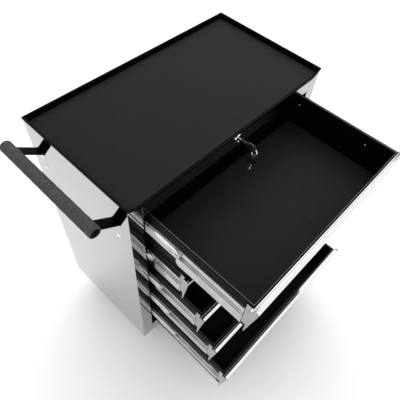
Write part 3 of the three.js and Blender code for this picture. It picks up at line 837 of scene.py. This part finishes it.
# ---- back rivets ------------------------------------------------------------------
# The back panel is pop riveted to the end panels down both of its ends, and to the base
# along its foot. The rivets are the same size as the drawers' ones, with lower heads.
back_low, back_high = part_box("back_panel")
rivet_inset = 0.010
row_margin = 0.03
foot_lift = 0.012
low_head = 0.0013
rivet_places = []
rows = 6
for i in range(rows):
    z = back_low.z + row_margin + (back_high.z - back_low.z - 2 * row_margin) * i / (rows - 1)
    for x in (back_low.x + rivet_inset, back_high.x - rivet_inset):
        rivet_places.append(((x, back_high.y, z), (0, 1, 0)))
columns = 5
for i in range(1, columns - 1):
    x = back_low.x + rivet_inset + (back_high.x - back_low.x - 2 * rivet_inset) * i / (columns - 1)
    rivet_places.append(((x, back_high.y, back_low.z + foot_lift), (0, 1, 0)))
rivets = stamp("back_rivets", [dome_head(rivet_radius, low_head)], rivet_places, zinc)
piece(rivets, zinc, "cabinet", "zinc_steel")

# ---- lock -------------------------------------------------------------------------
# A chromed cam lock in the front rail: a barrel with a rounded collar, the plug that
# the key turns, and the steel cam on its tail behind the rail.
barrel_low, barrel_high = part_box("lock_barrel")
lock_axis = Vector(((barrel_low.x + barrel_high.x) / 2, barrel_low.y, (barrel_low.z + barrel_high.z) / 2))
collar = (barrel_high.x - barrel_low.x) / 2
collar_step = 0.0015
barrel = collar - collar_step
bore = 0.0063
length = barrel_high.y - barrel_low.y
flange = 0.0037
barrel_profile = [
    (bore, 0.0008), (bore + 0.0008, 0), (collar - 0.0022, 0), (collar - 0.0006, 0.0009), (collar, 0.0025),
    (collar, flange), (barrel, flange), (barrel, length), (bore, length), (bore, 0.0008)]
piece(mesh_of("lock_collar", [set_at(turned(barrel_profile, 56), lock_axis, (0, 1, 0))]),
      chrome, "cabinet", "chrome_lock", "lock_barrel")
dress(["lock_plug"], chrome, 0.0003)
dress(["lock_cam"], zinc, 0.0003)

# ---- keys -------------------------------------------------------------------------
# One key stays in the lock, and a spare hangs from it on a split ring. Their heads are
# black moulded plastic with a rounded bow, and their blades are nickel-plated.
plastic = Finish("black_plastic")
plastic.shader.inputs["Specular IOR Level"].default_value = 0.35
moulding = plastic.noise(700, 3)
handled = plastic.between(plastic.noise(90, 4), 0.45, 0.7)
plastic.wear(handled, (0.0045, 0.0045, 0.005), (0.012, 0.012, 0.013))
plastic.rough(0.48 - handled * 0.14)
plastic.relief(moulding, 0.00008, 0.3)

bow_points = 40
bow_long = 0.0128
bow_wide = 0.0105
bow_squareness = (0.72, 0.8)
bow_ease = 0.0009
head_thickness = 0.0048
eye_radius = 0.0032
eye_along = bow_long * 1.55


def key_head():
    """A bow as a superellipse plate pierced by an eye near its far end, lying in XY
    with the blade's root at the origin."""
    rim = []
    for i in range(bow_points):
        t = math.tau * i / bow_points
        c, s = math.cos(t), math.sin(t)
        rim.append((bow_long + bow_long * math.copysign(abs(c) ** bow_squareness[0], c),
                    bow_wide * math.copysign(abs(s) ** bow_squareness[1], s)))
    eye = [(eye_along + eye_radius * math.cos(math.tau * i / bow_points),
            eye_radius * math.sin(math.tau * i / bow_points)) for i in range(bow_points)]
    half = head_thickness / 2
    eased = 1 - bow_ease / bow_wide
    bm = bmesh.new()
    levels = [(rim, half - bow_ease, 1.0), (rim, half, eased), (eye, half, 1.0),
              (eye, -half, 1.0), (rim, -half, eased), (rim, -half + bow_ease, 1.0)]
    rings = []
    for points, z, scale in levels:
        rings.append([bm.verts.new((bow_long + (a - bow_long) * scale, b * scale, z)) for a, b in points])
    for one, other in zip(rings, rings[1:] + rings[:1]):
        for i in range(bow_points):
            j = (i + 1) % bow_points
            bm.faces.new((one[i], one[j], other[j], other[i]))
    return bm


blade_half = 0.0036
blade_root = 0.002
blade_sheet = 0.0022
lock_reach = 0.0215
spare_reach = 0.024
notches = 5
notch_half = 0.0012


def key_blade(reach):
    """A flat blade running back from the root along -X, with milled notches."""
    outline = [(blade_root, blade_half), (-reach, blade_half), (-reach - blade_root, 0),
               (-reach, -blade_half * 0.6)]
    for i in range(notches):
        x = -reach + reach * (i + 0.5) / (notches + 1)
        dip = 0.0012 + 0.0009 * (i % 3)
        outline += [(x, -blade_half), (x + notch_half, -blade_half + dip), (x + 2 * notch_half, -blade_half)]
    outline.append((blade_root, -blade_half))
    return slab(outline, -blade_sheet / 2, blade_sheet / 2, 0.0002, 1)


root_depth = 0.0242
key_root = Vector((lock_axis.x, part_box("key_in_lock")[0].y + root_depth, lock_axis.z))
# the key stands in the plane of Y and Z, its bow towards the front
into_lock = Matrix(((0, 0, 1, 0), (-1, 0, 0, 0), (0, 1, 0, 0), (0, 0, 0, 1)))


def placed(bm, matrix):
    """Moves a shape from the key's own axes to where the key is."""
    bm.transform(matrix)
    return bm


in_lock = Matrix.Translation(key_root) @ into_lock
# a moulded neck joins the bow to the blade
neck_half = Vector((0.0095, 0.0046, 0.0021))
neck_middle = Vector((-0.0065, 0, 0))
neck = block(neck_middle - neck_half, neck_middle + neck_half, 0.0008)
piece(mesh_of("key_head", [placed(key_head(), in_lock), placed(neck, in_lock)], 50),
      plastic, "lock_turning", "black_plastic", "key_in_lock")
lock_blade = mesh_of("key_blade", [placed(key_blade(lock_reach), in_lock)])
piece(lock_blade, chrome, "lock_turning", "chrome_lock")

ring_radius = 0.0115
ring_wire = 0.0009
eye_centre = in_lock @ Vector((eye_along, 0, 0))
ring_centre = eye_centre + Vector((0.0015, -0.0015, -ring_radius + eye_radius * 0.7))
ring_steps = 96
ring_sides = 8
coils = 1.9
ring_axis = Vector((0.94, -0.35, 0))


def split_ring():
    """Almost two turns of wire lying side by side, closed at both ends."""
    bm = bmesh.new()
    rings = []
    for i in range(ring_steps + 1):
        turn = math.tau * coils * i / ring_steps
        shift = ring_wire * 1.9 * (i / ring_steps - 0.5)
        level = math.cos(turn)
        out = Vector((-ring_axis.y * level, ring_axis.x * level, math.sin(turn)))
        middle = ring_centre + out * ring_radius + ring_axis * shift
        ring = []
        for j in range(ring_sides):
            around = math.tau * j / ring_sides
            ring.append(bm.verts.new(middle + out * ring_wire * math.cos(around)
                                     + ring_axis * ring_wire * math.sin(around)))
        rings.append(ring)
    for one, other in zip(rings, rings[1:]):
        for j in range(ring_sides):
            after = (j + 1) % ring_sides
            bm.faces.new((one[j], one[after], other[after], other[j]))
    bm.faces.new(rings[0])
    bm.faces.new(rings[-1])
    return bm


piece(mesh_of("key_ring", [split_ring()], 60), chrome, "lock_turning", "chrome_lock")

# the spare hangs from the ring's lowest point, its blade down and its flat to the left
spare_eye = ring_centre + Vector((0, 0, -ring_radius - 0.0005))
down = Vector((-0.12, 0.05, -0.99)).normalized()
flat = Vector((-0.83, -0.55, 0.07)).normalized()
flat = (flat - down * flat.dot(down)).normalized()
side = flat.cross(-down)
hang = Matrix.Translation(spare_eye) @ Matrix((-down, side, flat)).transposed().to_4x4()
hang = hang @ Matrix.Translation((-eye_along - eye_radius * 0.6, 0, 0))
spare_head = mesh_of("spare_key_head", [placed(key_head(), hang)], 50)
piece(spare_head, plastic, "lock_turning", "black_plastic")
spare_blade = mesh_of("spare_key_blade", [placed(key_blade(spare_reach), hang)])
piece(spare_blade, chrome, "lock_turning", "chrome_lock")

# ---- casters ----------------------------------------------------------------------
# Two braked swivel casters and two fixed ones, bolted under the base. Each wheel is a
# rubber tyre on a grey polypropylene hub that turns on a steel bearing tube.
tread = Finish("tyre_rubber")
tread.shader.inputs["Specular IOR Level"].default_value = 0.3
scuffs = tread.noise(70, 5)
tread.wear(tread.between(scuffs, 0.5, 0.75), (0.014, 0.014, 0.015), (0.05, 0.048, 0.046))
tread.rough(scuffs * 0.2 + 0.6)
tread.relief(tread.noise(600, 3), 0.0003, 0.4)

hub_plastic = Finish("grey_hub")
hub_marks = hub_plastic.noise(45, 4)
hub_plastic.wear(hub_plastic.between(hub_marks, 0.4, 0.75), (0.24, 0.245, 0.25), (0.17, 0.17, 0.172))
hub_plastic.rough(hub_marks * 0.15 + 0.42)
hub_plastic.relief(hub_plastic.noise(900, 2), 0.0001, 0.25)

dress(["swivel_plate_front", "swivel_plate_rear", "swivel_fork_front", "swivel_fork_rear",
       "fixed_bracket_front", "fixed_bracket_rear"], zinc, 0.0003)
dress(["brake_pedal_front", "brake_pedal_rear"], plastic, 0.0005)

hex_radius = 0.0062
nut_radius = 0.0078
nut_height = 0.0055
bolt_height = 0.0048
bolt_spread = (0.025, 0.018)
plate_sheet = 0.003
tyre_thickness = 0.011
bearing = 0.0088
bearing_gap = 0.0004
axle_radius = 0.00525
fork_gap = 0.0025
fork_sheet = 0.0025
spokes = 6
spoke_half = 0.0016
spoke_inset = 0.0045


def hex_head(radius, height):
    """A six-sided bolt head with its corners turned off, on a round washer."""
    corners = [(radius * math.cos(math.tau * i / 6), radius * math.sin(math.tau * i / 6)) for i in range(6)]
    washer = turned([(0, -0.0003), (radius * 1.35, -0.0003), (radius * 1.35, 0.0009), (0, 0.0009)], 24)
    return [slab(corners, 0.0008, height, 0.0007, 1), washer]


def wheel(kind, end):
    low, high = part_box(f"{kind}_wheel_{end}")
    radius = (high.z - low.z) / 2
    half = (high.y - low.y) / 2
    centre = (low + high) / 2
    rim = radius - tyre_thickness
    tyre_profile = [
        (rim - 0.001, -half + 0.004), (rim + 0.0015, -half + 0.0006), (radius - 0.0045, -half),
        (radius - 0.0018, -half + 0.0015), (radius - 0.0004, -half + 0.005), (radius, -half * 0.3),
        (radius, half * 0.3), (radius - 0.0004, half - 0.005), (radius - 0.0018, half - 0.0015),
        (radius - 0.0045, half), (rim + 0.0015, half - 0.0006), (rim - 0.001, half - 0.004),
        (rim - 0.001, -half + 0.004)]
    hub_profile = [
        (bearing, -half + 0.0008), (bearing + 0.0035, -half + 0.0008), (bearing + 0.005, -half + 0.004),
        (rim - 0.006, -half + 0.0065), (rim - 0.0025, -half + 0.003), (rim - 0.0005, -half + 0.0035),
        (rim - 0.0005, half - 0.0035), (rim - 0.0025, half - 0.003), (rim - 0.006, half - 0.0065),
        (bearing + 0.005, half - 0.004), (bearing + 0.0035, half - 0.0008), (bearing, half - 0.0008),
        (bearing, -half + 0.0008)]
    sleeve = bearing - bearing_gap
    sleeve_profile = [
        (axle_radius, -half), (sleeve, -half), (sleeve, half), (axle_radius, half), (axle_radius, -half)]
    body = f"{kind}_wheel_{end}"
    y = (0, 1, 0)
    tyre = mesh_of(f"{kind}_tyre_{end}", [set_at(turned(tyre_profile, 96), centre, y)])
    piece(tyre, tread, body, "wheel_tread", body)
    spoke_from = bearing + 0.003
    spoke_to = rim - 0.003
    spoke = block((spoke_from, -spoke_half, -half + spoke_inset),
                  (spoke_to, spoke_half, half - spoke_inset), 0.0006, 1)
    spoke.transform(Matrix(((0, 0, -1, 0), (0, 1, 0, 0), (1, 0, 0, 0), (0, 0, 0, 1))))
    places = [(centre, (math.cos(math.tau * i / spokes), 0, math.sin(math.tau * i / spokes)))
              for i in range(spokes)]
    hub = mesh_of(f"{kind}_hub_{end}", [set_at(turned(hub_profile, 72), centre, y)])
    add_to(hub, stamp("spokes", [spoke], places, hub_plastic))
    piece(hub, hub_plastic, body, "wheel_tread")
    tube = mesh_of(f"{kind}_bearing_{end}", [set_at(turned(sleeve_profile, 40), centre, y)])
    piece(tube, zinc, body, "zinc_steel")
    return centre, half


for end in ("front", "rear"):
    for kind in ("swivel", "fixed"):
        centre, half = wheel(kind, end)
        body = f"swivel_{end}" if kind == "swivel" else "cabinet"
        outside = half + fork_gap + fork_sheet
        nuts = [((centre.x, centre.y + way * outside, centre.z), (0, way, 0)) for way in (-1, 1)]
        nut = hex_head(nut_radius, nut_height)
        pair = stamp(f"{kind}_axle_nuts_{end}", nut, nuts, zinc, twist=1.0)
        piece(pair, zinc, body, "zinc_steel")
        plate = f"swivel_plate_{end}" if kind == "swivel" else f"fixed_bracket_{end}"
        low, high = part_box(plate)
        under_plate = high.z - plate_sheet
        middle_y = (low.y + high.y) / 2
        middle_x = (low.x + high.x) / 2
        corners = []
        for sx in (-1, 1):
            for sy in (-1, 1):
                spot = (middle_x + sx * bolt_spread[0], middle_y + sy * bolt_spread[1], under_plate)
                corners.append((spot, (0, 0, -1)))
        bolt = hex_head(hex_radius, bolt_height)
        bolts = stamp(f"{kind}_plate_bolts_{end}", bolt, corners, zinc, twist=1.0)
        piece(bolts, zinc, "cabinet", "zinc_steel")
